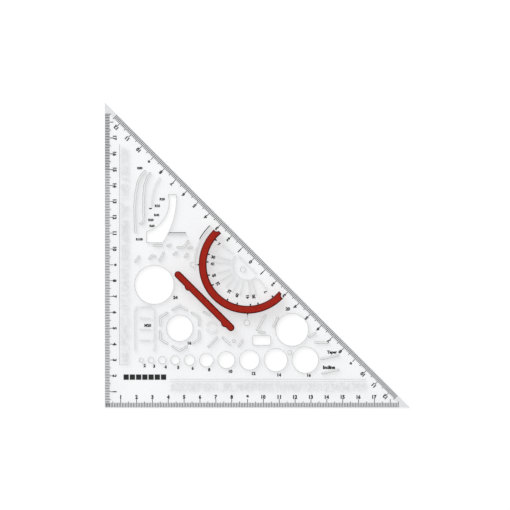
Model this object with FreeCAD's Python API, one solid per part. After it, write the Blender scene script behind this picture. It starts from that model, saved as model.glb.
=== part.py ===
import FreeCAD, Part
import math
import os

# 45 degree technical set square: a clear plate cut with drawing stencils, and two grips that plug into it.
# Frame: +Z up, Z = 0 on the underside, origin at the middle of the hypotenuse (the scale's zero mark).
# Points called (u, v) are measured along the two legs from the right-angle corner.

# ---- plate ----
leg_length = 192.4
plate_thickness = 2.0
bevel_width = 3.2            # each edge slopes down to a thin rim, under the scale
bevel_drop = 0.9

# ---- stencil cuts ----
pen_allowance = 0.4          # how much wider than its nominal size a stencil circle is cut
pen_slot_width = 0.8         # slot for a pencil line
fine_slot_width = 0.5        # slot of the protractor and of the thread symbol
letter_slot_width = 0.35     # slot of a lettering stroke
wall_flare = 0.25            # how far each moulded wall leans outwards from the underside to the top
fine_flare = 0.12            # the same on fine slots
letter_flare = 0.08          # and on letters
cut_margin = 0.5             # how far a cutter passes the plate's faces
groove_width = 0.35          # guide lines beside the lettering
groove_depth = 0.3

# ---- circle row ----
circle_diameters = [2, 3, 4, 5, 6, 8, 10, 12, 14, 16]
circle_row_start = 23.0
circle_row_height = 30.0
circle_gap = 3.6             # clear distance between two neighbouring nominal circles
smallest_ticked_circle = 8   # circles from this size on have centre ticks
centre_tick_length = 1.7

# ---- single round holes: (u, v, nominal diameter) ----
large_circle = (31.2, 77.5, 24.0)
medium_circle = (118.0, 49.1, 20.0)
hexagon_circle = (47.2, 50.1, 16.0)
small_holes = [(87.1, 87.1, 2.6), (81.3, 42.0, 1.2), (89.5, 53.5, 2.8), (55.2, 90.2, 2.2), (116.6, 34.8, 2.0)]

# ---- hexagon ----
hexagon_across_flats = 24.5
hexagon_arm = 5.2            # length of the slot on each side of a corner

# ---- ring symbol ----
ring_centre = (67.5, 50.8)
ring_radius = 3.4
ring_slot_starts = [25.0, 205.0]
ring_slot_sweep = 130.0

# ---- protractor and grips ----
centre_inset = 8.7               # from the hypotenuse to the centre of the protractor and of the arc grip
arc_centre = leg_length / 2 - centre_inset / math.sqrt(2)
baseline_half_length = 8.2
protractor_ring_radius = 9.6
protractor_ring_arcs = [(-78.0, -32.0), (-25.0, 25.0), (32.0, 78.0)]     # from the axis of symmetry
protractor_slot_start = 11.4
protractor_slot_end = 19.6
protractor_angles = [7, 30, 41, 60, 75, 90, 105, 120, 139, 150, 173]    # drafting angles, both ways
outer_arc_radius = 33.7
outer_arc_start = -91.0          # from the axis of symmetry
outer_arc_sweep = 50.0

arc_grip_inner_radius = 25.8
arc_grip_width = 5.0
arc_grip_edge_distance = 6.4     # from the hypotenuse to the ends of the arc grip
arc_notch_radius = 1.7           # clears the scale number beside each end
arc_notch_inset = 1.0            # from the grip's outer edge to the notch's centre
grip_height = 6.0
grip_edge_radius = 1.1

bar_grip_length = 51.6
bar_grip_width = 4.5
bar_axis_distance = 35.4         # from the arc's centre to the bar's centre line
bar_shift = 3.0                  # along the hypotenuse, from the axis of symmetry
bar_bump_places = [-13.4, 18.9]  # along the bar, from its middle
bar_bump_radius = 2.6
bar_bump_proud = 0.9

peg_diameter = 3.0
peg_clearance = 0.05             # radial
peg_length = 1.7                 # stays above the underside
peg_root = 1.0                   # how far a peg runs up into its grip
peg_chamfer = 0.3
arc_peg_angles = [40.0, 90.0, 140.0]
bar_peg_places = [-20.0, 20.0]

# ---- lettering ----
alphabet_characters = "ABCDEFGHIJKLMNOPQRSTUVWXYZ0123456789"
letter_height = 4.6
letter_width = 2.5
column_foot = 10.4               # from the left edge to the feet of the column's letters
column_start = 28.2
column_pitch = 3.8
row_foot = 10.9                  # from the bottom edge to the feet of the row's letters
row_start = 41.5
row_pitch = 3.45
letter_strokes = {
    # each stroke is a chain of points on a cell two units wide and four high; gaps keep the counters attached
    "A": [[(0, 0), (1, 4), (2, 0)], [(0.3, 1.2), (1.0, 1.2)]],
    "B": [[(0, 0), (0, 4), (1.5, 4), (2, 3.4), (2, 2.7)], [(0, 0), (1.5, 0), (2, 0.6), (2, 1.4)]],
    "C": [[(2, 3.4), (1.5, 4), (0.5, 4), (0, 3.4), (0, 0.6), (0.5, 0), (1.5, 0), (2, 0.6)]],
    "D": [[(0, 0.6), (0, 4), (1.3, 4), (2, 3.2), (2, 0.8), (1.3, 0), (0.7, 0)]],
    "E": [[(2, 4), (0, 4), (0, 0), (2, 0)], [(0, 2), (1.5, 2)]],
    "F": [[(2, 4), (0, 4), (0, 0)], [(0, 2), (1.5, 2)]],
    "G": [[(2, 3.4), (1.5, 4), (0.5, 4), (0, 3.4), (0, 0.6), (0.5, 0), (2, 0), (2, 1.8), (1.3, 1.8)]],
    "H": [[(0, 0), (0, 4)], [(2, 0), (2, 4)], [(0, 2), (2, 2)]],
    "I": [[(1, 0), (1, 4)]],
    "J": [[(0, 0.6), (0.5, 0), (1.5, 0), (2, 0.6), (2, 4)]],
    "K": [[(0, 0), (0, 4)], [(2, 4), (0, 1.6)], [(0.7, 2.44), (2, 0)]],
    "L": [[(0, 4), (0, 0), (2, 0)]],
    "M": [[(0, 0), (0, 4), (1, 2), (2, 4), (2, 0)]],
    "N": [[(0, 0), (0, 4), (2, 0), (2, 4)]],
    "O": [[(0.7, 4), (0, 3.4), (0, 0.6), (0.7, 0)], [(1.3, 4), (2, 3.4), (2, 0.6), (1.3, 0)]],
    "P": [[(0, 0), (0, 4), (1.5, 4), (2, 3.4), (2, 2.6), (1.5, 2), (0.7, 2)]],
    "Q": [[(0.7, 4), (0, 3.4), (0, 0.6), (0.7, 0)], [(1.3, 4), (2, 3.4), (2, 1.2)], [(1.2, 1.0), (2, 0)]],
    "R": [[(0, 0), (0, 4), (1.5, 4), (2, 3.4), (2, 2.6), (1.5, 2), (0.8, 2)], [(1.5, 2), (2, 0)]],
    "S": [[(2, 3.4), (1.5, 4), (0.5, 4), (0, 3.4), (0, 2.6),
           (2, 1.4), (2, 0.6), (1.5, 0), (0.5, 0), (0, 0.6)]],
    "T": [[(0, 4), (2, 4)], [(1, 4), (1, 0)]],
    "U": [[(0, 4), (0, 0.6), (0.5, 0), (1.5, 0), (2, 0.6), (2, 4)]],
    "V": [[(0, 4), (1, 0), (2, 4)]],
    "W": [[(0, 4), (0.4, 0), (1, 2.4), (1.6, 0), (2, 4)]],
    "X": [[(0, 0), (2, 4)], [(0, 4), (2, 0)]],
    "Y": [[(0, 4), (1, 2), (2, 4)], [(1, 2), (1, 0)]],
    "Z": [[(0, 4), (2, 4), (0, 0), (2, 0)]],
    "0": [[(0.7, 4), (0, 3.2), (0, 0.8), (0.7, 0)], [(1.3, 4), (2, 3.2), (2, 0.8), (1.3, 0)]],
    "1": [[(0.3, 3.2), (1.2, 4), (1.2, 0)]],
    "2": [[(0, 3.4), (0.5, 4), (1.5, 4), (2, 3.4), (2, 2.6), (0, 0), (2, 0)]],
    "3": [[(0, 4), (2, 4), (1, 2.4), (2, 1.6), (2, 0.6), (1.5, 0), (0, 0)]],
    "4": [[(1.4, 0), (1.4, 2.4)], [(1.2, 4), (0, 1.2), (0.8, 1.2)], [(1.4, 1.2), (2, 1.2)]],
    "5": [[(2, 4), (0, 4), (0, 2.4), (1.5, 2.4), (2, 1.8), (2, 0.6), (1.5, 0), (0, 0)]],
    "6": [[(1.6, 4), (0, 1.8), (0, 0.6), (0.5, 0), (1.5, 0), (2, 0.6), (2, 1.6), (1.5, 2.2), (1.1, 2.2)]],
    "7": [[(0, 4), (2, 4), (0.6, 0)]],
    "8": [[(0.7, 4), (0, 3.4), (0, 2.6), (2, 1.4), (2, 0.6), (1.3, 0)],
          [(1.3, 4), (2, 3.4), (2, 2.9)], [(0, 1.2), (0, 0.6), (0.6, 0)]],
    "9": [[(0.4, 0), (2, 2.2), (2, 3.4), (1.5, 4), (0.5, 4), (0, 3.4), (0, 2.4), (0.5, 1.8), (1.0, 1.8)]],
}

# directions in the plane: along the hypotenuse towards lower right, and from it towards the right angle
along = FreeCAD.Vector(1, -1, 0).normalize()
inward = FreeCAD.Vector(-1, -1, 0).normalize()
up = FreeCAD.Vector(0, 0, 1)


def place(u, v, z=0.0):
    """Turn distances from the right-angle corner into the part's frame."""
    return FreeCAD.Vector(u - leg_length / 2, v - leg_length / 2, z)


def grown(z, flare):
    """How far a leaning wall stands back at height z, from its place on the underside."""
    return flare * z / plate_thickness


cut_low = -cut_margin
cut_high = plate_thickness + cut_margin


def round_cut(centre, diameter, flare=wall_flare):
    """Round cutter through the plate, wider at the top by the flare."""
    base = FreeCAD.Vector(centre.x, centre.y, cut_low)
    low_radius = diameter / 2 + grown(cut_low, flare)
    high_radius = diameter / 2 + grown(cut_high, flare)
    if flare == 0:
        return Part.makeCylinder(low_radius, cut_high - cut_low, base)
    return Part.makeCone(low_radius, high_radius, cut_high - cut_low, base)


def straight_cut(start, end, width, flare):
    """Straight length of a slot, with leaning walls and square ends."""
    direction = (end - start).normalize()
    side = FreeCAD.Vector(-direction.y, direction.x, 0)
    corners = []
    for sign, z in ((-1, cut_low), (1, cut_low), (1, cut_high), (-1, cut_high)):
        corner = start + side * (sign * (width / 2 + grown(z, flare)))
        corners.append(FreeCAD.Vector(corner.x, corner.y, z))
    section = Part.Face(Part.makePolygon(corners + corners[:1]))
    return section.extrude(end - start)


def fused(shapes):
    return shapes[0] if len(shapes) == 1 else shapes[0].multiFuse(shapes[1:]).removeSplitter()


def pen_cut(points, width, flare=wall_flare):
    """One slot with round ends and corners that follows a chain of points."""
    pieces = [round_cut(point, width, flare) for point in points]
    pieces += [straight_cut(a, b, width, flare) for a, b in zip(points, points[1:])]
    return fused(pieces)


def polar(centre, radius, degrees, z=0.0):
    angle = math.radians(degrees)
    return FreeCAD.Vector(centre.x + radius * math.cos(angle), centre.y + radius * math.sin(angle), z)


def arc_cut(centre, radius, width, start_deg, end_deg, flare=fine_flare):
    """Slot with round ends along an arc; the angles run anticlockwise from start to end."""
    corners = []
    for sign, z in ((-1, cut_low), (1, cut_low), (1, cut_high), (-1, cut_high)):
        corners.append(polar(centre, radius + sign * (width / 2 + grown(z, flare)), start_deg, z))
    section = Part.Face(Part.makePolygon(corners + corners[:1]))
    swept = section.revolve(centre, up, end_deg - start_deg)
    ends = [round_cut(polar(centre, radius, degrees), width, flare) for degrees in (start_deg, end_deg)]
    return fused([swept] + ends)


def window_cut(outline):
    """Cutter for a closed flat outline at Z = 0, with leaning walls all round."""
    sections = []
    for z in (cut_low, cut_high):
        section = outline.makeOffset2D(grown(z, wall_flare), join=2)
        sections.append(section.translated(FreeCAD.Vector(0, 0, z)))
    return Part.makeLoft(sections, True, True)


def capsule(start, end, width):
    """Flat outline with two straight sides and round ends."""
    direction = (end - start).normalize()
    side = FreeCAD.Vector(-direction.y, direction.x, 0) * (width / 2)
    cap = direction * (width / 2)
    edges = [
        Part.LineSegment(start - side, end - side).toShape(),
        Part.Arc(end - side, end + cap, end + side).toShape(),
        Part.LineSegment(end + side, start + side).toShape(),
        Part.Arc(start + side, start - cap, start - side).toShape(),
    ]
    return Part.Wire(edges)


# ---- where things are ----

def arc_origin(z=0.0):
    return place(arc_centre, arc_centre, z)


def on_arc(radius, degrees, z=0.0):
    """A point on the protractor side of the arc's centre, the angle counted from the upper end."""
    angle = math.radians(degrees)
    return arc_origin(z) - along * (radius * math.cos(angle)) + inward * (radius * math.sin(angle))


def on_bar(distance, z=0.0, across=0.0):
    """A point on the bar's centre line, counted from its middle."""
    middle = arc_origin(z) + inward * bar_axis_distance - along * bar_shift
    return middle + along * distance + inward * across


def circle_row():
    """Centres and diameters of the row of circles, each a fixed gap from the next."""
    u = circle_row_start
    previous = circle_diameters[0]
    for diameter in circle_diameters:
        if diameter != previous:
            u += previous / 2 + circle_gap + diameter / 2
        yield u, circle_row_height, diameter
        previous = diameter


# ---- cutters of the plate ----

def round_holes():
    holes = list(circle_row()) + [large_circle, medium_circle, hexagon_circle] + small_holes
    return [round_cut(place(u, v), diameter + pen_allowance) for u, v, diameter in holes]


def peg_positions():
    arc_middle = arc_grip_inner_radius + arc_grip_width / 2
    return [on_arc(arc_middle, angle) for angle in arc_peg_angles] + [on_bar(s) for s in bar_peg_places]


def peg_holes():
    return [round_cut(position, peg_diameter + 2 * peg_clearance, 0) for position in peg_positions()]


def hexagon_slots():
    """Six corner slots; the gap in the middle of each side keeps the centre attached."""
    u, v, diameter = hexagon_circle
    corner_radius = hexagon_across_flats / math.sqrt(3)
    corners = [polar(place(u, v), corner_radius, 90 + 60 * index) for index in range(6)]
    cuts = []
    for index, corner in enumerate(corners):
        before = corner + (corners[index - 1] - corner).normalize() * hexagon_arm
        after = corner + (corners[(index + 1) % 6] - corner).normalize() * hexagon_arm
        cuts.append(pen_cut([before, corner, after], pen_slot_width))
    return cuts


def ring_slots():
    centre = place(*ring_centre)
    return [arc_cut(centre, ring_radius, pen_slot_width, start, start + ring_slot_sweep)
            for start in ring_slot_starts]


def protractor_slots():
    """Baseline, ring and rays of the protractor, and the short arc outside the grip."""
    centre = arc_origin()
    middle_of_plate = 225.0      # direction from the arc's centre to the right-angle corner
    baseline = [centre - along * baseline_half_length, centre + along * baseline_half_length]
    cuts = [pen_cut(baseline, fine_slot_width, fine_flare)]
    for start, end in protractor_ring_arcs:
        cuts.append(arc_cut(centre, protractor_ring_radius, fine_slot_width,
                            middle_of_plate + start, middle_of_plate + end))
    for angle in protractor_angles:
        ray = [on_arc(protractor_slot_start, angle), on_arc(protractor_slot_end, angle)]
        cuts.append(pen_cut(ray, fine_slot_width, fine_flare))
    outer_start = middle_of_plate + outer_arc_start
    outer_end = outer_start + outer_arc_sweep
    cuts.append(arc_cut(centre, outer_arc_radius, fine_slot_width, outer_start, outer_end))
    return cuts


def closed_outline(curves):
    return Part.Wire([curve.toShape() for curve in curves])


def radius_windows():
    """The crescent window whose edges are radius curves, and the three curved pen slots to its left."""
    crescent = closed_outline([
        Part.LineSegment(place(26.4, 104.2), place(36.4, 104.2)),
        Part.Arc(place(36.4, 104.2), place(43.2, 119.0), place(45.0, 134.1)),
        Part.LineSegment(place(45.0, 134.1), place(40.3, 134.1)),
        Part.Arc(place(40.3, 134.1), place(36.6, 117.6), place(26.4, 110.8)),
        Part.LineSegment(place(26.4, 110.8), place(26.4, 104.2)),
    ])
    long_curve = [(25.5, 149.0), (22.8, 146.3), (20.8, 141.9), (19.5, 135.0),
                  (18.8, 127.5), (19.0, 118.0), (19.3, 110.5)]
    hooked_curve = [(28.7, 147.7), (26.4, 144.4), (25.0, 139.6), (24.5, 133.0),
                    (24.4, 124.0), (24.7, 118.6), (24.2, 116.6), (22.5, 116.0)]
    short_curve = [(34.7, 144.8), (31.7, 140.0), (30.0, 134.0), (29.5, 127.0)]
    cuts = [window_cut(crescent)]
    for curve, width, flare in (
        (long_curve, pen_slot_width, wall_flare),
        (hooked_curve, pen_slot_width, wall_flare),
        (short_curve, fine_slot_width, fine_flare),
    ):
        cuts.append(pen_cut([place(u, v) for u, v in curve], width, flare))
    return cuts


def rectangle_window():
    """Rounded rectangle above the row of circles."""
    low_u, high_u, low_v, high_v = 93.2, 104.4, 39.5, 45.3
    radius = 1.0
    diagonal = radius * (1 - math.sqrt(0.5))
    outline = closed_outline([
        Part.LineSegment(place(low_u + radius, low_v), place(high_u - radius, low_v)),
        Part.Arc(place(high_u - radius, low_v), place(high_u - diagonal, low_v + diagonal),
                 place(high_u, low_v + radius)),
        Part.LineSegment(place(high_u, low_v + radius), place(high_u, high_v - radius)),
        Part.Arc(place(high_u, high_v - radius), place(high_u - diagonal, high_v - diagonal),
                 place(high_u - radius, high_v)),
        Part.LineSegment(place(high_u - radius, high_v), place(low_u + radius, high_v)),
        Part.Arc(place(low_u + radius, high_v), place(low_u + diagonal, high_v - diagonal),
                 place(low_u, high_v - radius)),
        Part.LineSegment(place(low_u, high_v - radius), place(low_u, low_v + radius)),
        Part.Arc(place(low_u, low_v + radius), place(low_u + diagonal, low_v + diagonal),
                 place(low_u + radius, low_v)),
    ])
    return [window_cut(outline)]


def thread_slots():
    """Side view of a screw thread: straight side, head line, wavy side and three cross lines."""
    crest_u, crest_depth, low_v, pitch = 30.9, 0.8, 36.1, 3.3
    wavy = [place(crest_u + crest_depth * (index % 2), low_v + pitch * index) for index in range(9)]
    chains = [
        [place(19.0, 35.9), place(19.0, 61.3), place(20.5, 63.6)],
        [place(22.3, 63.6), place(29.3, 63.6)],
        wavy,
    ]
    for v in (56.3, 49.4, 42.5):
        chains.append([place(22.3, v), place(28.7, v)])
    return [pen_cut(chain, fine_slot_width, fine_flare) for chain in chains]


def symbol_slots():
    """Straight pen slots of the surface, weld and slope symbols, each a chain of (u, v) points."""
    chains = [
        [(40.5, 109.5), (50.8, 109.5)],
        [(31.0, 102.2), (35.9, 102.2)],
        [(39.4, 102.0), (41.5, 102.7)],
        [(45.9, 101.0), (50.0, 101.2), (52.6, 105.0)],
        [(53.0, 100.5), (54.9, 101.1)],
        [(19.3, 92.0), (21.6, 95.2)],
        [(28.2, 93.8), (29.6, 95.8), (31.8, 95.5)],
        [(34.5, 92.7), (37.1, 97.7)],
        [(43.4, 96.6), (45.5, 98.0)],
        [(50.5, 95.0), (52.1, 97.0)],
        [(96.0, 49.0), (101.3, 58.0)],
        [(106.4, 51.2), (109.0, 56.6)],
        [(65.2, 38.4), (70.8, 44.1)],
        [(74.4, 44.1), (79.0, 39.9)],
        [(84.5, 38.7), (86.8, 42.4)],
        [(128.9, 44.6), (132.7, 47.0)],
        [(132.7, 41.1), (140.6, 41.1)],
        [(136.6, 30.6), (147.2, 33.2)],
        [(137.0, 21.6), (147.2, 24.0)],
        [(97.4, 47.5), (100.6, 47.5)],
        [(62.4, 60.2), (66.2, 58.3)],
    ]
    return [pen_cut([place(u, v) for u, v in chain], pen_slot_width) for chain in chains]


def centre_ticks():
    """Short lines on the centre lines of the larger circles, and above the two largest of the row."""
    lines = []
    half = centre_tick_length / 2
    for u, v, diameter in list(circle_row()) + [medium_circle]:
        distance = diameter / 2 + circle_gap / 2
        if diameter >= smallest_ticked_circle:
            lines.append([(u + distance - half, v), (u + distance + half, v)])
        if diameter in circle_diameters[-2:]:
            lines.append([(u, v + distance - half), (u, v + distance + half)])
    u, v, diameter = medium_circle
    distance = diameter / 2 + circle_gap / 2
    lines.append([(u - distance - half, v), (u - distance + half, v)])
    return lines


def guide_grooves():
    """Shallow lines on the top face: beside the letters, and the centre ticks of the circles."""
    lines = [
        [(9.4, 27.0), (9.4, 166.0)],
        [(9.4, 27.0), (14.8, 27.0)],
        [(41.0, 17.9), (165.0, 17.9)],
        [(41.0, 16.4), (165.0, 16.4)],
    ]
    cuts = []
    for (u_start, v_start), (u_end, v_end) in lines + centre_ticks():
        outline = capsule(place(u_start, v_start), place(u_end, v_end), groove_width)
        groove = Part.Face(outline).extrude(FreeCAD.Vector(0, 0, groove_depth + cut_margin))
        cuts.append(groove.translated(FreeCAD.Vector(0, 0, plate_thickness - groove_depth)))
    return cuts


def letter_cut(character, place_in_letter):
    """One letter: its strokes mapped to the plate by place_in_letter(x, y) and joined."""
    strokes = []
    for stroke in letter_strokes[character]:
        points = [place_in_letter(x * letter_width / 2, y * letter_height / 4) for x, y in stroke]
        strokes.append(pen_cut(points, letter_slot_width, letter_flare))
    return fused(strokes)


def letter_column():
    """Letters up the left leg, their feet towards its edge, read from the bottom to the top."""
    cuts = []
    for index, character in enumerate(reversed(alphabet_characters)):
        v_end = column_start + index * column_pitch + letter_width
        cuts.append(letter_cut(character, lambda x, y, v=v_end: place(column_foot + y, v - x)))
    return cuts


def letter_row():
    """The same characters above the bottom scale, upright."""
    cuts = []
    for index, character in enumerate(alphabet_characters):
        u_start = row_start + index * row_pitch
        cuts.append(letter_cut(character, lambda x, y, u=u_start: place(u + x, row_foot + y)))
    return cuts


# ---- the pieces ----

def make_plate():
    size = leg_length
    corners = [place(0, 0), place(size, 0), place(0, size)]
    outline = Part.makePolygon(corners + corners[:1])
    body = Part.Face(outline).extrude(FreeCAD.Vector(0, 0, plate_thickness))
    rim = [edge for edge in body.Edges
           if all(abs(vertex.Z - plate_thickness) < 1e-6 for vertex in edge.Vertexes)]
    body = body.makeChamfer(bevel_drop, bevel_width, rim)
    cutters = round_holes() + peg_holes() + hexagon_slots() + ring_slots() + protractor_slots()
    cutters += radius_windows() + rectangle_window() + thread_slots() + symbol_slots()
    cutters += guide_grooves() + letter_column() + letter_row()
    return body.cut(cutters)


def rounded_top(grip, z):
    """Round the upper edges of a grip."""
    top_edges = [edge for edge in grip.Edges if all(abs(vertex.Z - z) < 1e-6 for vertex in edge.Vertexes)]
    return grip.makeFillet(grip_edge_radius, top_edges)


def peg(position):
    base = FreeCAD.Vector(position.x, position.y, plate_thickness - peg_length)
    shaft = Part.makeCylinder(peg_diameter / 2, peg_length + peg_root, base)
    tip = [edge for edge in shaft.Edges if all(abs(vertex.Z - base.z) < 1e-6 for vertex in edge.Vertexes)]
    return shaft.makeChamfer(peg_chamfer, tip)


def make_arc_grip():
    """Half ring that faces the right angle, its ends cut parallel to the hypotenuse and notched."""
    centre = arc_origin(plate_thickness)
    outer_radius = arc_grip_inner_radius + arc_grip_width
    ring = Part.makeCylinder(outer_radius, grip_height, centre)
    ring = ring.cut(Part.makeCylinder(arc_grip_inner_radius, grip_height, centre))
    # everything nearer to the hypotenuse than the ends is taken away
    half_width = 2 * outer_radius
    start = place(leg_length / 2, leg_length / 2, plate_thickness) + inward * arc_grip_edge_distance
    left = start - along * half_width
    right = start + along * half_width
    strip = [left, right, right - inward * outer_radius, left - inward * outer_radius]
    trim = Part.Face(Part.makePolygon(strip + strip[:1])).extrude(FreeCAD.Vector(0, 0, grip_height))
    grip = ring.cut(trim)
    notch_place = outer_radius - arc_notch_inset
    for side in (-1, 1):
        notch_centre = start + along * (side * notch_place)
        grip = grip.cut(Part.makeCylinder(arc_notch_radius, grip_height, notch_centre))
    grip = rounded_top(grip, plate_thickness + grip_height)
    arc_pegs = [peg(position) for position in peg_positions()[:len(arc_peg_angles)]]
    return fused([grip] + arc_pegs)


def make_bar_grip():
    """Straight bar with round ends and two bumps on the side that faces the right angle."""
    half = (bar_grip_length - bar_grip_width) / 2
    outline = capsule(on_bar(-half, plate_thickness), on_bar(half, plate_thickness), bar_grip_width)
    bar = Part.Face(outline).extrude(FreeCAD.Vector(0, 0, grip_height))
    bumps = []
    for distance in bar_bump_places:
        across = bar_grip_width / 2 + bar_bump_proud - bar_bump_radius
        bump_centre = on_bar(distance, plate_thickness, across)
        bumps.append(Part.makeCylinder(bar_bump_radius, grip_height, bump_centre))
    bar = rounded_top(fused([bar] + bumps), plate_thickness + grip_height)
    bar_pegs = [peg(position) for position in peg_positions()[len(arc_peg_angles):]]
    return fused([bar] + bar_pegs)


os.makedirs("parts", exist_ok=True)
pieces = {"plate": make_plate, "arc_grip": make_arc_grip, "bar_grip": make_bar_grip}
for name, make in pieces.items():
    piece = make()
    solids = piece.Solids
    print(name, "solids", len(solids), "valid", piece.isValid(), "volume", round(piece.Volume, 1))
    solids[0].exportStep("parts/" + name + ".step")
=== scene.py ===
import math

import bmesh
import bpy
from mathutils import Matrix, Vector

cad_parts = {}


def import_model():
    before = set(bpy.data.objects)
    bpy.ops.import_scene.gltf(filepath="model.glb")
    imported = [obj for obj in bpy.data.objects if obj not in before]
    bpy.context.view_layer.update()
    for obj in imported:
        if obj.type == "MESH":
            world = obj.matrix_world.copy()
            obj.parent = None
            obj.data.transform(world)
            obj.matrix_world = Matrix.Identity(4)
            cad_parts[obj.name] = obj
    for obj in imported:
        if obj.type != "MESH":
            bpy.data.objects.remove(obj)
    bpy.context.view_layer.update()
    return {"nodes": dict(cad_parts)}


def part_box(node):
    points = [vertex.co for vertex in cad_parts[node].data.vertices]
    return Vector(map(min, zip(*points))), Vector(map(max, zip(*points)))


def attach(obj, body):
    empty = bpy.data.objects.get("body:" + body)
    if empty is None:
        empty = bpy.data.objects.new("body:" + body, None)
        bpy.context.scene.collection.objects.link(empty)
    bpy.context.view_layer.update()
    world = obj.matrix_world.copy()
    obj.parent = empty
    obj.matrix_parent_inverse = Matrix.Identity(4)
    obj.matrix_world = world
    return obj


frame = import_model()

MM = 0.001
PLATE_LOW, PLATE_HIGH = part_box("plate")
LEG = PLATE_HIGH.x - PLATE_LOW.x            # both legs of the triangle, in metres

# ---- ink: printed on the underside, a hair inside the acrylic ----
INK_LOW = PLATE_LOW.z + 0.03 * MM
INK_HIGH = PLATE_LOW.z + 0.07 * MM
GROOVE_FLOOR = PLATE_LOW.z + 1.7 * MM       # of the guide grooves in the plate's top face

# ---- scales ----
LEFT_TICK_WIDTH = 0.33 * MM
LEFT_HEAVY_TICK_WIDTH = 0.46 * MM           # of the left scale's upper end
LEFT_HEAVY_FROM_MM = 150
BOTTOM_TICK_WIDTH = 0.38 * MM
HYPOTENUSE_TICK_WIDTH = 0.39 * MM
LEG_SCALE_MM = 185
HYPOTENUSE_SCALE_MM = 125                   # each way from the middle
LEG_TICKS = (3.0, 3.8, 5.4)                 # lengths of the mm, 5 mm and cm ticks
HYPOTENUSE_TICKS = (3.0, 3.9, 5.2)
EDGE_MARGIN_MM = 0.15                       # bare acrylic between the edge and a tick
FIGURE_HEIGHT_MM = 2.5
FIGURE_BOLDNESS = 0.06                      # outward offset of the outlines, on a size of one
BOTTOM_FIGURES_MM = 6.7                     # from each edge to the middle of its figures
LEFT_FIGURES_MM = 6.2
HYPOTENUSE_FIGURES_MM = 6.2
LEG_FIGURES = range(1, 18)                  # centimetres that carry a figure
HYPOTENUSE_FIGURES = range(-12, 13)

# ---- protractor ----
CENTRE_INSET_MM = 8.7                       # from the hypotenuse to the arc's centre
ARC_INNER_MM = 25.8
ARC_OUTER_MM = 30.8
MARK_WIDTH = 0.9 * MM
INNER_MARK_MM = (-1.1, 0.2)                 # ends of the inner marks, from the arc grip's inner edge
OUTER_MARK_MM = (-0.3, 0.7)                 # thick ends of the centre lines, from its outer edge
STEM_MM = (0.6, 2.4)                        # thin parts of the centre lines, likewise
STEM_WIDTH = 0.2 * MM
CENTRE_LINES = (45, 135)                    # degrees
PROTRACTOR_FIGURE_MM = 2.1
FIGURE_TURN = -45                           # degrees: a figure 45 degrees round stands upright
OUTER_SHADE_LINE_MM = 34.35                       # radius of the painted shade outside the outer arc slot: a dark ink line along the slot's outer wall
OUTER_SHADE_LINE_STEP = 3                         # degrees that one straight piece of it spans
OUTER_SHADE_LINE_DEGREES = range(-1, 17, OUTER_SHADE_LINE_STEP)
OUTER_SHADE_LINE_WIDTH = 0.5 * MM
MARK_ANGLES = (7, 30, 41, 60, 75, 105, 120, 139, 150, 173)
FIRST_HALF_FIGURES = (22.2, 2.5)            # radius of the figures, and degrees from mark to figure
SECOND_HALF_FIGURES = (20.4, -4.3)

# ---- labels of the stencils: height in mm, then words and middle (u, v) ----
STENCIL_LABELS = (
    (2.2, (("2", 25.1, 26.5), ("3", 31.1, 26.1), ("4", 38.3, 25.6), ("5", 46.3, 25.3), ("6", 55.4, 24.8),
           ("8", 65.8, 23.9), ("10", 79.3, 22.8), ("12", 93.9, 21.5), ("14", 110.0, 20.6),
           ("16", 128.8, 20.4), ("20", 115.4, 62.2), ("24", 44.5, 69.4), ("16", 53.4, 40.7))),
    (2.0, (("M20", 27.1, 51.8),)),
    (1.7, (("R20", 36.2, 131.4), ("R25", 33.2, 127.2), ("R40", 32.7, 121.4), ("R50", 29.1, 118.3),
           ("R60", 29.8, 114.6), ("R80", 22.1, 151.0), ("R100", 21.8, 106.1))),
    (2.6, (("Taper", 143.3, 34.7),)),
    (2.4, (("Incline", 141.4, 25.4),)),
)

# ---- single lines: start (u, v), end (u, v), width in mm ----
SHORT_PRINT_AND_SHADE_LINES = (
    ((27.9, 125.5), (29.7, 125.5), 0.8),    # dash by the radius labels
    ((40.6, 110.2), (51.0, 110.2), 0.45),   # painted shade: a dark line over the top edge of the slot beside the crescent
)
GUIDE_LINES = (
    ((9.4, 27.0), (9.4, 166.0), 0.16),      # beside the letter column
    ((9.4, 27.0), (14.8, 27.0), 0.12),      # across its foot
    ((41.0, 17.9), (165.0, 17.9), 0.11),    # the pair above the letter row
    ((41.0, 16.4), (165.0, 16.4), 0.08),
)
GUIDE_INK = (0.01 * MM, 0.05 * MM)          # underside and top of that ink, above the groove's floor

# ---- row of plain blocks ----
BLOCK_COUNT = 7
BLOCKS_FROM_MM = 11.8
BLOCKS_TO_MM = 39.3
BLOCKS_V_MM = 19.2
BLOCK_GAP_MM = 0.6
BLOCK_HEIGHT = 3.4 * MM

# ---- acrylic: |Z| of a face's normal tells cut walls (steep) from sloping edges and flat faces ----
WALL_FLATNESS = (0.80, 0.88)                # all wall below the first, none above the second
SLOPE_FLATNESS = (0.97, 0.99)               # the same for the sloping edges
FINE_WALL_FLATNESS = (0.035, 0.075)         # from the steepest, finest walls to the wider ones
FINE_WALL_FROST = (0.28, 0.78)              # how much those two are frosted
CLEAR_TINTS = ((0.954, 0.956, 0.961, 1), (0.964, 0.966, 0.969, 1))
WALL_TINT = (0.90, 0.905, 0.91, 1)
# painted shade: darker tint of the sloping edges, standing in for the grey that refraction shows there
SLOPE_PAINTED_SHADE_TINT = (0.83, 0.835, 0.842, 1)
FROST_GREYS = (0.22, 0.34)
ACRYLIC_IOR = 1.45

# ---- red plastic ----
RED_SHADES = ((0.560, 0.020, 0.009, 1), (0.710, 0.034, 0.015, 1))
RED_RIM_PAINTED_SHADE = (0.28, 0.15, 0.15, 1)      # painted shade: multiplies the colour of faces that turn down, darkening the rims and sides
RED_RIM_PAINTED_SHADE_FLATNESS = (0.88, 0.9995)
GRAIN_DEPTH = 0.1 * MM

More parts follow.
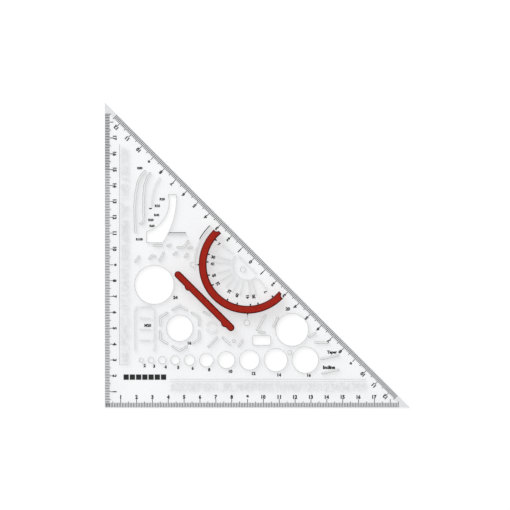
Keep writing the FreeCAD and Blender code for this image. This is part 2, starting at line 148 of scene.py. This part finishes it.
# ---- studio ----
FLOOR_HALF_SIZE = 3.0
FLOOR_GAP = 0.1 * MM                        # floor below the plate, so that the two never share a plane
FLOOR_GLOW = 0.58                           # like a light table: keeps shadows round the grips faint
WORLD_STRENGTH = 0.38
KEY_PLACE = (-0.85, 1.05, 1.0)
KEY_SIZE = 1.2
KEY_POWER = 8.5
CAMERA_DISTANCE = 3.0
WIDTH_IN_VIEW = 321.6 * MM
CAMERA_AIM_MM = (94.7, 96.2)

ALONG = Vector((1, -1)).normalized()        # along the hypotenuse, towards lower right
INWARD = Vector((-1, -1)).normalized()      # from the hypotenuse towards the right angle


def at(u, v):
    """A point measured in mm along the two legs from the right-angle corner."""
    return Vector((PLATE_LOW.x + u * MM, PLATE_LOW.y + v * MM))


# ================================ materials ================================

def new_material(name):
    material = bpy.data.materials.new(name)
    material.use_nodes = True
    material.node_tree.nodes.clear()
    return material


class Nodes:
    """Short helpers for building a node tree."""

    def __init__(self, material):
        self.tree = material.node_tree

    def add(self, kind, **values):
        node = self.tree.nodes.new(kind)
        for name, value in values.items():
            setattr(node, name, value)
        return node

    def link(self, output, target):
        self.tree.links.new(output, target)

    def value(self, node, socket, value):
        node.inputs[socket].default_value = value

    def noise(self, vector, scale, detail, roughness=0.5):
        node = self.add("ShaderNodeTexNoise")
        self.value(node, "Scale", scale)
        self.value(node, "Detail", detail)
        self.value(node, "Roughness", roughness)
        self.link(vector, node.inputs["Vector"])
        return node.outputs["Fac"]

    def ramp(self, factor, stops):
        node = self.add("ShaderNodeValToRGB")
        elements = node.color_ramp.elements
        while len(elements) < len(stops):
            elements.new(0.5)
        for element, (position, colour) in zip(elements, stops):
            element.position = position
            element.color = colour
        self.link(factor, node.inputs["Fac"])
        return node.outputs["Color"]

    def map_range(self, value, low, high, to_low, to_high):
        node = self.add("ShaderNodeMapRange")
        self.link(value, node.inputs["Value"])
        limits = {"From Min": low, "From Max": high, "To Min": to_low, "To Max": to_high}
        for socket, number in limits.items():
            self.value(node, socket, number)
        return node.outputs["Result"]

    def math(self, operation, first, second=None):
        node = self.add("ShaderNodeMath", operation=operation)
        for index, item in enumerate((first, second)):
            if item is None:
                continue
            if isinstance(item, (int, float)):
                node.inputs[index].default_value = item
            else:
                self.link(item, node.inputs[index])
        return node.outputs["Value"]

    def multiply(self, first, second):
        node = self.add("ShaderNodeMix", data_type="RGBA", blend_type="MULTIPLY")
        self.value(node, "Factor", 1.0)
        colours = [socket for socket in node.inputs if socket.type == "RGBA"]
        self.link(first, colours[0])
        self.link(second, colours[1])
        return [socket for socket in node.outputs if socket.type == "RGBA"][0]

    def mix(self, factor, first, second):
        node = self.add("ShaderNodeMixShader")
        self.link(factor, node.inputs[0])
        self.link(first, node.inputs[1])
        self.link(second, node.inputs[2])
        return node.outputs["Shader"]

    def bump(self, height, strength, distance):
        node = self.add("ShaderNodeBump")
        self.value(node, "Strength", strength)
        self.value(node, "Distance", distance)
        self.link(height, node.inputs["Height"])
        return node.outputs["Normal"]

    def output(self, shader):
        node = self.add("ShaderNodeOutputMaterial")
        self.link(shader, node.inputs["Surface"])


def grey(level):
    return (level, level, level, 1.0)


def clear_acrylic():
    """Clear polished acrylic with a faint haze. Its sloping edges get a darker tint, a painted shade in
    place of the grey that refraction gives them; its cut walls are frosted.
    """
    material = new_material("clear_acrylic_look")
    n = Nodes(material)
    place = n.add("ShaderNodeTexCoord").outputs["Object"]
    normal = n.add("ShaderNodeSeparateXYZ")
    geometry = n.add("ShaderNodeNewGeometry")
    n.link(geometry.outputs["True Normal"], normal.inputs["Vector"])
    flatness = n.math("ABSOLUTE", normal.outputs["Z"])

    haze = n.noise(place, 35.0, 3.0)
    tint = n.ramp(haze, [(0.3, CLEAR_TINTS[0]), (0.7, CLEAR_TINTS[1])])
    clear = n.add("ShaderNodeBsdfTransparent")
    n.link(tint, clear.inputs["Color"])

    gloss = n.add("ShaderNodeBsdfGlossy")
    smudges = n.noise(place, 120.0, 4.0, 0.6)
    n.link(n.map_range(smudges, 0.35, 0.75, 0.04, 0.16), gloss.inputs["Roughness"])
    fresnel = n.add("ShaderNodeFresnel")
    n.value(fresnel, "IOR", ACRYLIC_IOR)
    outside = n.math("SUBTRACT", 1.0, geometry.outputs["Backfacing"])
    mirror = n.math("MULTIPLY", fresnel.outputs["Fac"], outside)
    polished = n.mix(mirror, clear.outputs["BSDF"], gloss.outputs["BSDF"])

    frosted = n.add("ShaderNodeBsdfPrincipled")
    saw = n.noise(place, 900.0, 2.0)
    low_grey, high_grey = (grey(level) for level in FROST_GREYS)
    n.link(n.ramp(saw, [(0.3, low_grey), (0.7, high_grey)]), frosted.inputs["Base Color"])
    n.value(frosted, "Roughness", 0.35)
    walls = n.add("ShaderNodeBsdfTransparent")
    n.value(walls, "Color", WALL_TINT)
    frost = n.map_range(flatness, *FINE_WALL_FLATNESS, *FINE_WALL_FROST)
    wall = n.mix(frost, walls.outputs["BSDF"], frosted.outputs["BSDF"])

    # painted shade: sloping faces let through less light than the flat faces
    painted_slope_shade = n.add("ShaderNodeBsdfTransparent")
    n.value(painted_slope_shade, "Color", SLOPE_PAINTED_SHADE_TINT)
    slope_with_painted_shade = n.mix(mirror, painted_slope_shade.outputs["BSDF"], gloss.outputs["BSDF"])

    is_wall = n.map_range(flatness, *WALL_FLATNESS, 1.0, 0.0)
    painted_slope_shade_mask = n.map_range(flatness, *SLOPE_FLATNESS, 1.0, 0.0)
    surface = n.mix(painted_slope_shade_mask, polished, slope_with_painted_shade)
    surface = n.mix(is_wall, surface, wall)
    n.output(surface)
    return material


def red_plastic():
    """Moulded red plastic: satin gloss, slight mottling, fine grain, and painted shade that darkens it
    where it turns down, on rims and sides.
    """
    material = new_material("red_plastic_look")
    n = Nodes(material)
    place = n.add("ShaderNodeTexCoord").outputs["Object"]
    shader = n.add("ShaderNodeBsdfPrincipled")
    mottle = n.noise(place, 260.0, 4.0, 0.6)
    colour = n.ramp(mottle, [(0.25, RED_SHADES[0]), (0.75, RED_SHADES[1])])
    normal = n.add("ShaderNodeSeparateXYZ")
    n.link(n.add("ShaderNodeNewGeometry").outputs["Normal"], normal.inputs["Vector"])
    turned, level = RED_RIM_PAINTED_SHADE_FLATNESS
    # painted shade: the colour darkens as the normal turns away from straight up
    painted_rim_shade = n.ramp(normal.outputs["Z"], [(turned, RED_RIM_PAINTED_SHADE), (level, grey(1.0))])
    n.link(n.multiply(colour, painted_rim_shade), shader.inputs["Base Color"])
    scuffs = n.noise(place, 420.0, 4.0, 0.6)
    n.link(n.map_range(scuffs, 0.3, 0.7, 0.32, 0.50), shader.inputs["Roughness"])
    n.value(shader, "Specular IOR Level", 0.2)
    grain = n.noise(place, 2600.0, 2.0)
    n.link(n.bump(grain, 0.12, GRAIN_DEPTH), shader.inputs["Normal"])
    n.output(shader.outputs["BSDF"])
    return material


def black_ink():
    """Matt printing ink, slightly uneven in density."""
    material = new_material("black_ink_look")
    n = Nodes(material)
    place = n.add("ShaderNodeTexCoord").outputs["Object"]
    shader = n.add("ShaderNodeBsdfPrincipled")
    density = n.noise(place, 1500.0, 3.0)
    n.link(n.ramp(density, [(0.3, grey(0.008)), (0.8, grey(0.035))]), shader.inputs["Base Color"])
    n.link(n.map_range(density, 0.2, 0.8, 0.45, 0.65), shader.inputs["Roughness"])
    n.output(shader.outputs["BSDF"])
    return material


def floor_paper():
    """White paper that glows a little."""
    material = new_material("floor_paper")
    n = Nodes(material)
    place = n.add("ShaderNodeTexCoord").outputs["Object"]
    shader = n.add("ShaderNodeBsdfPrincipled")
    fibres = n.noise(place, 60.0, 4.0)
    n.link(n.ramp(fibres, [(0.2, grey(0.88)), (0.8, grey(0.90))]), shader.inputs["Base Color"])
    n.value(shader, "Roughness", 0.9)
    n.value(shader, "Emission Color", grey(1.0))
    n.value(shader, "Emission Strength", FLOOR_GLOW)
    n.output(shader.outputs["BSDF"])
    return material


def dress(node, material):
    """Give a carried-over CAD node its material in every slot."""
    mesh = frame["nodes"][node].data
    if not mesh.materials:
        mesh.materials.append(material)
    for slot in frame["nodes"][node].material_slots:
        slot.material = material


ACRYLIC = clear_acrylic()
RED = red_plastic()
INK = black_ink()
dress("plate", ACRYLIC)
dress("arc_grip", RED)
dress("bar_grip", RED)


# ================================== ink ====================================

class Print:
    """Ink marks gathered into one thin mesh."""

    def __init__(self, name, low=INK_LOW, high=INK_HIGH):
        self.name = name
        self.low = low
        self.high = high
        self.mesh = bmesh.new()

    def bar(self, start, end, width):
        """A printed line with square ends."""
        side = (end - start).normalized()
        side = Vector((-side.y, side.x)) * (width / 2)
        corners = [start - side, end - side, end + side, start + side]
        low = [self.mesh.verts.new((c.x, c.y, self.low)) for c in corners]
        high = [self.mesh.verts.new((c.x, c.y, self.high)) for c in corners]
        self.mesh.faces.new(high)
        self.mesh.faces.new(low[::-1])
        for i in range(4):
            j = (i + 1) % 4
            self.mesh.faces.new((low[i], low[j], high[j], high[i]))

    def text(self, words, centre, height_mm, turn_deg):
        """Printed figures, centred on a point and turned anticlockwise."""
        curve = bpy.data.curves.new("figures", type="FONT")
        curve.body = words
        curve.align_x = "CENTER"
        curve.align_y = "CENTER"
        curve.resolution_u = 3
        curve.offset = FIGURE_BOLDNESS
        holder = bpy.data.objects.new("figures", curve)
        bpy.context.scene.collection.objects.link(holder)
        bpy.context.view_layer.update()
        flat = bpy.data.meshes.new_from_object(holder)
        xs = [vertex.co.x for vertex in flat.vertices]
        ys = [vertex.co.y for vertex in flat.vertices]
        middle = Vector(((min(xs) + max(xs)) / 2, (min(ys) + max(ys)) / 2, 0))
        scale = height_mm * MM / (max(ys) - min(ys))
        move = Matrix.Translation((centre.x, centre.y, 0))
        turn = Matrix.Rotation(math.radians(turn_deg), 4, "Z")
        place = move @ turn @ Matrix.Scale(scale, 4) @ Matrix.Translation(-middle)
        piece = bmesh.new()
        piece.from_mesh(flat)
        bmesh.ops.transform(piece, matrix=place, verts=piece.verts)
        for vertex in piece.verts:
            vertex.co.z = self.high
        grown = bmesh.ops.extrude_face_region(piece, geom=list(piece.faces))
        for item in grown["geom"]:
            if isinstance(item, bmesh.types.BMVert):
                item.co.z = self.low
        bmesh.ops.recalc_face_normals(piece, faces=list(piece.faces))
        solid = bpy.data.meshes.new("figures")
        piece.to_mesh(solid)
        piece.free()
        self.mesh.from_mesh(solid)
        bpy.data.objects.remove(holder)
        bpy.data.curves.remove(curve)
        bpy.data.meshes.remove(flat)
        bpy.data.meshes.remove(solid)

    def finish(self):
        data = bpy.data.meshes.new(self.name)
        self.mesh.to_mesh(data)
        self.mesh.free()
        data.materials.append(INK)
        piece = bpy.data.objects.new(self.name, data)
        bpy.context.scene.collection.objects.link(piece)
        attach(piece, "plate")


def draw(ink, lines):
    """Print straight lines, each given as its start, its end and its width in mm."""
    for start, end, width_mm in lines:
        ink.bar(at(*start), at(*end), width_mm * MM)


def tick_length(step, lengths):
    """Length in mm of the tick at a whole number of millimetres."""
    short, half, full = lengths
    if step % 10 == 0:
        return full
    return half if step % 5 == 0 else short


def leg_scales():
    ticks = Print("leg_scale_ticks")
    figures = Print("leg_scale_figures")
    for step in range(1, LEG_SCALE_MM + 1):
        reach = tick_length(step, LEG_TICKS)
        left_width = LEFT_TICK_WIDTH if step < LEFT_HEAVY_FROM_MM else LEFT_HEAVY_TICK_WIDTH
        ticks.bar(at(step, EDGE_MARGIN_MM), at(step, reach), BOTTOM_TICK_WIDTH)
        ticks.bar(at(EDGE_MARGIN_MM, step), at(reach, step), left_width)
    for centimetre in LEG_FIGURES:
        along = centimetre * 10
        figures.text(str(centimetre), at(along, BOTTOM_FIGURES_MM), FIGURE_HEIGHT_MM, 0)
        figures.text(str(centimetre), at(LEFT_FIGURES_MM, along), FIGURE_HEIGHT_MM, -90)
    ticks.finish()
    figures.finish()


def on_hypotenuse(along_mm, inward_mm):
    """A point measured from the middle of the hypotenuse."""
    middle = at(LEG / MM / 2, LEG / MM / 2)
    return middle + ALONG * (along_mm * MM) + INWARD * (inward_mm * MM)


def hypotenuse_scale():
    ticks = Print("hypotenuse_scale_ticks")
    figures = Print("hypotenuse_scale_figures")
    for step in range(-HYPOTENUSE_SCALE_MM, HYPOTENUSE_SCALE_MM + 1):
        reach = tick_length(step, HYPOTENUSE_TICKS)
        ticks.bar(on_hypotenuse(step, EDGE_MARGIN_MM), on_hypotenuse(step, reach), HYPOTENUSE_TICK_WIDTH)
    for centimetre in HYPOTENUSE_FIGURES:
        place = on_hypotenuse(centimetre * 10, HYPOTENUSE_FIGURES_MM)
        figures.text(str(abs(centimetre)), place, FIGURE_HEIGHT_MM, 135)
    ticks.finish()
    figures.finish()


def on_protractor(radius_mm, degrees):
    """A point of the protractor, the angle counted from the hypotenuse's upper end."""
    angle = math.radians(degrees)
    centre = on_hypotenuse(0, CENTRE_INSET_MM)
    return centre + (INWARD * math.sin(angle) - ALONG * math.cos(angle)) * (radius_mm * MM)


def protractor():
    """Marks that peep out inside the arc grip, their figures, and the lines outside it, one of them a
    painted shade along the outer arc slot.
    """
    marks = Print("protractor_marks_and_shade_line")

    def radial(edge_mm, reach_mm, degrees, width):
        inner, outer = (on_protractor(edge_mm + reach, degrees) for reach in reach_mm)
        marks.bar(inner, outer, width)

    for degrees in MARK_ANGLES:
        radial(ARC_INNER_MM, INNER_MARK_MM, degrees, MARK_WIDTH)
        radius, shift = FIRST_HALF_FIGURES if degrees < 90 else SECOND_HALF_FIGURES
        place = degrees + shift
        words = str(min(degrees, 180 - degrees))
        marks.text(words, on_protractor(radius, place), PROTRACTOR_FIGURE_MM, place + FIGURE_TURN)
    for degrees in CENTRE_LINES:
        radial(ARC_OUTER_MM, OUTER_MARK_MM, degrees, MARK_WIDTH)
        radial(ARC_OUTER_MM, STEM_MM, degrees, STEM_WIDTH)
    # painted shade: a dark ink line along the outer wall of the outer arc slot
    for degrees in OUTER_SHADE_LINE_DEGREES:
        start = on_protractor(OUTER_SHADE_LINE_MM, degrees)
        end = on_protractor(OUTER_SHADE_LINE_MM, degrees + OUTER_SHADE_LINE_STEP)
        marks.bar(start, end, OUTER_SHADE_LINE_WIDTH)
    marks.finish()


def stencil_labels():
    labels = Print("stencil_labels")
    for height_mm, row in STENCIL_LABELS:
        for words, u, v in row:
            labels.text(words, at(u, v), height_mm, 0)
    # one of these short lines is painted shade, over the top edge of the slot beside the crescent
    draw(labels, SHORT_PRINT_AND_SHADE_LINES)
    labels.finish()


def guide_lines():
    """Fine ink lines on the floors of the guide grooves beside the two alphabets."""
    lines = Print("guide_lines", GROOVE_FLOOR + GUIDE_INK[0], GROOVE_FLOOR + GUIDE_INK[1])
    draw(lines, GUIDE_LINES)
    lines.finish()


def check_bar():
    """A plain row of printed blocks at the lower left."""
    bar = Print("check_bar")
    pitch = (BLOCKS_TO_MM - BLOCKS_FROM_MM) / BLOCK_COUNT
    for index in range(BLOCK_COUNT):
        start = BLOCKS_FROM_MM + index * pitch
        bar.bar(at(start, BLOCKS_V_MM), at(start + pitch - BLOCK_GAP_MM, BLOCKS_V_MM), BLOCK_HEIGHT)
    bar.finish()


leg_scales()
hypotenuse_scale()
protractor()
stencil_labels()
guide_lines()
check_bar()


# ============================ stage, light, camera ============================

def stage():
    data = bpy.data.meshes.new("floor")
    size = FLOOR_HALF_SIZE
    z = PLATE_LOW.z - FLOOR_GAP
    corners = [(-size, -size, z), (size, -size, z), (size, size, z), (-size, size, z)]
    data.from_pydata(corners, [], [(0, 1, 2, 3)])
    data.materials.append(floor_paper())
    floor = bpy.data.objects.new("floor", data)
    bpy.context.scene.collection.objects.link(floor)


def area_light(name, place, size, power):
    data = bpy.data.lights.new(name, "AREA")
    data.size = size
    data.energy = power
    lamp = bpy.data.objects.new(name, data)
    lamp.location = place
    lamp.rotation_mode = "QUATERNION"
    lamp.rotation_quaternion = (-Vector(place)).to_track_quat("-Z", "Y")
    bpy.context.scene.collection.objects.link(lamp)


def world(strength):
    setting = bpy.data.worlds.new("studio")
    setting.use_nodes = True
    background = setting.node_tree.nodes["Background"]
    background.inputs["Color"].default_value = grey(1.0)
    background.inputs["Strength"].default_value = strength
    bpy.context.scene.world = setting


def camera():
    """Straight down on the drawing face, from far enough away that nothing shows its side."""
    data = bpy.data.cameras.new("camera")
    data.lens = data.sensor_width * CAMERA_DISTANCE / WIDTH_IN_VIEW
    data.clip_start = 0.05
    data.clip_end = 10.0
    holder = bpy.data.objects.new("camera", data)
    aim = at(*CAMERA_AIM_MM)
    holder.location = (aim.x, aim.y, CAMERA_DISTANCE)
    bpy.context.scene.collection.objects.link(holder)
    bpy.context.scene.camera = holder


stage()
world(WORLD_STRENGTH)
area_light("key", KEY_PLACE, KEY_SIZE, KEY_POWER)
camera()
bpy.context.scene.view_settings.view_transform = "Standard"
